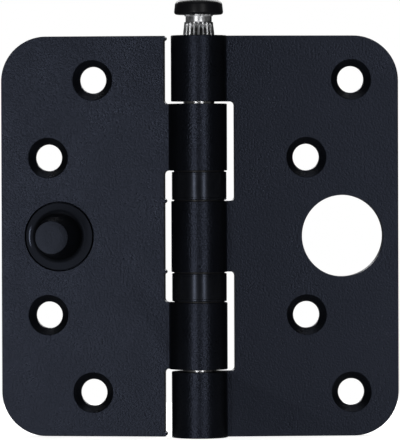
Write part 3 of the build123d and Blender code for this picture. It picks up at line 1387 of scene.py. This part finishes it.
@dataclass
class Studio:
    """Camera, softboxes, floor and backdrop."""

    eye: tuple[float, float, float] = (-0.070053, -0.938516, 0.018614)
    yaw: float = -4.2785
    pitch: float = -0.9117
    roll: float = 0.19
    focal_pixels: float = 4248.84
    picture_height: int = 440
    sensor: float = 36.0
    strip_left: float = -21.2
    strip_right: float = 20.3
    right_share: float = 0.81
    strip_distance: float = 1.1
    strip_width: float = 0.09
    strip_height: float = 0.9
    elevation_left: float = -9.0
    elevation_right: float = 1.0
    strip_radiance: float = 11.6
    overhead_elevation: float = 82.0
    overhead_distance: float = 1.2
    overhead_size: Point = (0.9, 0.9)
    overhead_radiance: float = 0.7
    rear_azimuth: float = 24.0
    rear_elevation: float = 38.0
    rear_distance: float = 1.3
    rear_size: Point = (0.4, 1.0)
    rear_radiance: float = 7.0
    floor_height: float = -0.0445
    floor_reach: float = 0.13
    floor_grey: float = 0.8
    floor_glow: float = 0.75
    floor_sheen: float = 0.1
    floor_dimming: float = 0.7
    room_light: float = 0.3
    room_gloss: float = 0.042

    def camera(self) -> None:
        """Makes the scene's camera at the photograph's place."""
        turn = (
            Matrix.Rotation(math.radians(self.yaw), 3, "Z")
            @ Matrix.Rotation(math.radians(self.pitch), 3, "X")
            @ Matrix.Rotation(math.radians(self.roll), 3, "Y")
        )
        right, forward, up = turn.col[0], turn.col[1], turn.col[2]
        axes = Matrix((right, up, -forward)).transposed().to_4x4()
        data = bpy.data.cameras.new("camera")
        data.sensor_width = self.sensor
        data.lens = self.focal_pixels * self.sensor / self.picture_height
        data.clip_start, data.clip_end = 0.01, 20.0
        camera = bpy.data.objects.new("camera", data)
        camera.matrix_world = Matrix.Translation(self.eye) @ axes
        bpy.context.scene.collection.objects.link(camera)
        bpy.context.scene.camera = camera

    def softbox(
        self,
        name: str,
        azimuth: float,
        elevation: float,
        distance: float,
        size: Point,
        radiance: float,
    ) -> None:
        """Adds a soft lamp that faces the origin.

        Args:
            name: Name of the lamp.
            azimuth: Degrees from the camera's side, positive to its right.
            elevation: Degrees above the horizon.
            distance: Metres from the origin.
            size: Width and height in metres.
            radiance: Brightness, where 1 is a white wall's.
        """
        data = bpy.data.lights.new(name, "AREA")
        data.shape = "RECTANGLE"
        data.size, data.size_y = size
        data.energy = radiance * math.pi * size[0] * size[1]
        around = math.radians(azimuth + self.yaw)
        above = math.radians(elevation)
        level = math.cos(above)
        direction = Vector((math.sin(around) * level, -math.cos(around) * level, math.sin(above)))
        lamp = bpy.data.objects.new(name, data)
        lamp.location = direction * distance
        lamp.rotation_mode = "QUATERNION"
        lamp.rotation_quaternion = direction.to_track_quat("Z", "Y")
        bpy.context.scene.collection.objects.link(lamp)

    def lamps(self) -> None:
        """Two tall strips beside the camera, a soft box overhead and two more behind the hinge."""
        strip = (self.strip_width, self.strip_height)
        weaker = self.strip_radiance * self.right_share
        for name, azimuth, elevation, radiance in (
            ("strip_left", self.strip_left, self.elevation_left, self.strip_radiance),
            ("strip_right", self.strip_right, self.elevation_right, weaker),
        ):
            self.softbox(name, azimuth, elevation, self.strip_distance, strip, radiance)
        above, high = self.overhead_elevation, self.overhead_distance
        self.softbox("overhead", 0, above, high, self.overhead_size, self.overhead_radiance)
        above, away = self.rear_elevation, self.rear_distance
        for side, name in ((-1, "rear_left"), (1, "rear_right")):
            around = 180 + side * self.rear_azimuth
            self.softbox(name, around, above, away, self.rear_size, self.rear_radiance)

    def world(self) -> None:
        """A backdrop that the camera sees as white and the hinge as a dim room."""
        world = bpy.data.worlds.new("backdrop")
        world.use_nodes = True
        bpy.context.scene.world = world
        tree = Tree(world.node_tree)
        rays = tree.add("ShaderNodeLightPath")
        direct, through = rays.outputs["Is Camera Ray"], rays.outputs["Is Transmission Ray"]
        seen = tree.math("MAXIMUM", direct, through)
        fall = self.room_light - self.room_gloss
        darker = tree.math("MULTIPLY", rays.outputs["Is Glossy Ray"], fall)
        strength = tree.math("MAXIMUM", seen, tree.math("SUBTRACT", self.room_light, darker))
        background = world.node_tree.nodes["Background"]
        background.inputs["Color"].default_value = (1.0, 1.0, 1.0, 1.0)
        tree.link(strength, background.inputs["Strength"])

    def floor(self) -> None:
        """A white floor under the hinge, which shows the hinge's soft shadow and casts none."""
        shape = bmesh.new()
        bmesh.ops.create_grid(shape, x_segments=2, y_segments=2, size=self.floor_reach)
        bmesh.ops.translate(shape, verts=shape.verts, vec=(0, 0, self.floor_height))
        mesh = bpy.data.meshes.new("floor")
        shape.to_mesh(mesh)
        shape.free()
        floor = scene_object("floor", mesh)
        material = bpy.data.materials.new("floor")
        material.use_nodes = True
        tree = Tree(material.node_tree)
        shader = material.node_tree.nodes["Principled BSDF"]
        shader.inputs["Roughness"].default_value = 0.9
        shader.inputs["Specular IOR Level"].default_value = 0.0
        shader.inputs["Emission Color"].default_value = (1.0, 1.0, 1.0, 1.0)
        rays = tree.add("ShaderNodeLightPath")
        glow = tree.math("MULTIPLY", rays.outputs["Is Camera Ray"], self.floor_glow)
        sheen = tree.math("MULTIPLY", rays.outputs["Is Glossy Ray"], self.floor_sheen)
        dimmer = tree.math("MULTIPLY", rays.outputs["Is Glossy Ray"], self.floor_dimming)
        tree.link(tree.math("SUBTRACT", self.floor_grey, dimmer), shader.inputs["Base Color"])
        tree.link(tree.math("ADD", glow, sheen), shader.inputs["Emission Strength"])
        mesh.materials.append(material)
        floor.visible_shadow = False

    def build(self) -> None:
        """Sets up everything round the hinge."""
        self.camera()
        self.lamps()
        self.world()
        self.floor()
        bpy.context.scene.view_settings.view_transform = "Standard"


def mount(piece: bpy.types.Object, node: str, body: Body) -> None:
    """Puts a finished piece in the place of its CAD node.

    Args:
        piece: The piece.
        node: The CAD node that it stands for.
        body: The body that it rides on.
    """
    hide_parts(node)
    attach(piece, body.value)
    LOG.info("%s: %d faces on %s", piece.name, len(piece.data.polygons), body.value)


def dress_node(node: str, material: bpy.types.Material) -> None:
    """Gives a CAD node that stays its finish.

    Args:
        node: The node's name.
        material: The finish.
    """
    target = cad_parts[node]
    if not target.material_slots:
        target.data.materials.append(material)
    for entry in target.material_slots:
        entry.material = material
    LOG.info("%s: CAD node with %s", node, material.name)


def corners(box: tuple[Vector, Vector]) -> list[list[float]]:
    """A box's two corners as plain lists."""
    return [list(corner) for corner in box]


def main() -> None:
    """Builds the hinge's pieces in order, then the studio."""
    logging.basicConfig(level=logging.INFO, format="%(name)s: %(message)s")
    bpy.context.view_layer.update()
    g = GAUGE
    finishes = (LEAF_COAT, STUD_COAT, CASE_COAT)
    leaf_coat, stud_coat, case_coat = (finish.material() for finish in finishes)
    holes = hole_tree()
    fit = StudFit()
    right = Leaf(
        "right_leaf",
        Body.FIXED,
        g.right_axes(),
        [(-g.half, -g.end_bottom), (-g.middle_top, g.middle_top), (g.end_bottom, g.half)],
        inner_column=24.0,
        outer_column=34.0,
        stud_column=32.0,
        stud_cut=fit.clearance(),
    )
    nib_inset = 0.6
    nib_end = g.half - nib_inset
    left = Leaf(
        "left_leaf",
        Body.SWINGING,
        g.left_axes(),
        [(-g.inner_top, -g.bearing_top), (g.bearing_top, g.inner_top)],
        inner_column=34.0,
        outer_column=24.0,
        nibs=[nib_end, g.middle_top, -g.middle_top, -nib_end],
        stud_cut=fit.pocket(),
        bulge=0.6,
    )
    for leaf in (right, left):
        mount(leaf.build(holes, leaf_coat), leaf.name, leaf.body)
    mount(SecurityStud().build(stud_coat), "security_stud", Body.SWINGING)
    mount(HingePin().build(knurl_tree(), PIN_ZINC.material()), "hinge_pin", Body.PIN)
    recess = 0.28
    for name, body, bottom in (
        ("upper_bearing_case", Body.FIXED, g.middle_top + recess),
        ("lower_bearing_case", Body.SWINGING, recess - g.bearing_top),
    ):
        mount(BearingCase(name, body, bottom).build(case_coat), name, body)
    inner = {"race": RACE_STEEL, "ball": BALL_STEEL, "cage": CAGE_BRASS}
    metals = {word: finish.material() for word, finish in inner.items()}
    for node in sorted(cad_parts):
        for word, metal in metals.items():
            if word in node.split("bearing_")[-1]:
                dress_node(node, metal)
    Studio().build()


if __name__ == "__main__":
    main()
